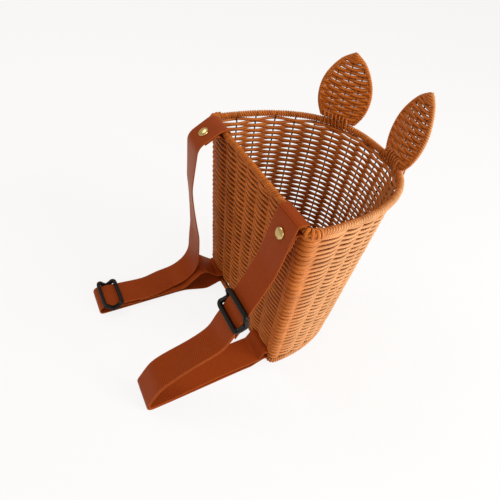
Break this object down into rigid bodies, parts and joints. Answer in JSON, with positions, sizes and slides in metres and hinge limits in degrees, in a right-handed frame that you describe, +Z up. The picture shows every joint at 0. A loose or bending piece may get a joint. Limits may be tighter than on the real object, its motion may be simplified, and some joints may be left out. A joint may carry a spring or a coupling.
{
  "type": "pack basket",
  "caption": "Woven child's pack basket with a flat back, a tapered D-shaped body, leaf-shaped woven ears on the rim and webbing shoulder straps.",
  "frame": {"origin": "middle of the base, on the floor", "axes": "+Z up, -Y out of the flat back that the straps hang on, +X to the right as seen from behind"},
  "size_m": [0.2036, 0.2909, 0.2699],
  "materials": {
    "rattan_wall": "extruded plastic rattan strand, satin, lit from the front",
    "rattan_rim": "wound plastic rattan strand, satin",
    "rattan_border": "wound plastic rattan strand, darker, satin",
    "stake_wire": "thin dark coated wire",
    "webbing": "woven polyester webbing, red-brown, soft sheen",
    "slider_plastic": "moulded black plastic, satin",
    "rivet_brass": "pale polished brass plate"
  },
  "bodies": {
    "basket": {"rim_roll": "rattan_rim", "base_border": "rattan_border", "stake_frame": "stake_wire", "wall_weaver": "rattan_wall", "left_short_stake": "stake_wire", "right_short_stake": "stake_wire", "base_mat": "rattan_border", "right_corner_lashing": "rattan_border", "left_corner_lashing": "rattan_border", "right_ear_frame": "rattan_rim", "right_ear_weave": "rattan_wall", "right_ear_lashing": "rattan_border", "left_ear_frame": "rattan_rim", "left_ear_weave": "rattan_wall", "left_ear_lashing": "rattan_border", "right_strap": "webbing", "right_rivet": "rivet_brass", "right_rivet_back": "rivet_brass", "left_strap": "webbing", "left_rivet": "rivet_brass", "left_rivet_back": "rivet_brass"},
    "right_slider": {"right_slider": "slider_plastic", "right_strap_end": "webbing"},
    "left_slider": {"left_slider": "slider_plastic", "left_strap_end": "webbing"}
  },
  "joints": [
    {"name": "right_slider_slide", "type": "slide", "parent": "basket", "child": "right_slider", "axis": [0, -0.4673, -0.8841], "range_m": [-0.011, 0.011]},
    {"name": "left_slider_slide", "type": "slide", "parent": "basket", "child": "left_slider", "axis": [0, 0.9979, -0.0644], "range_m": [0, 0.025]}
  ]
}
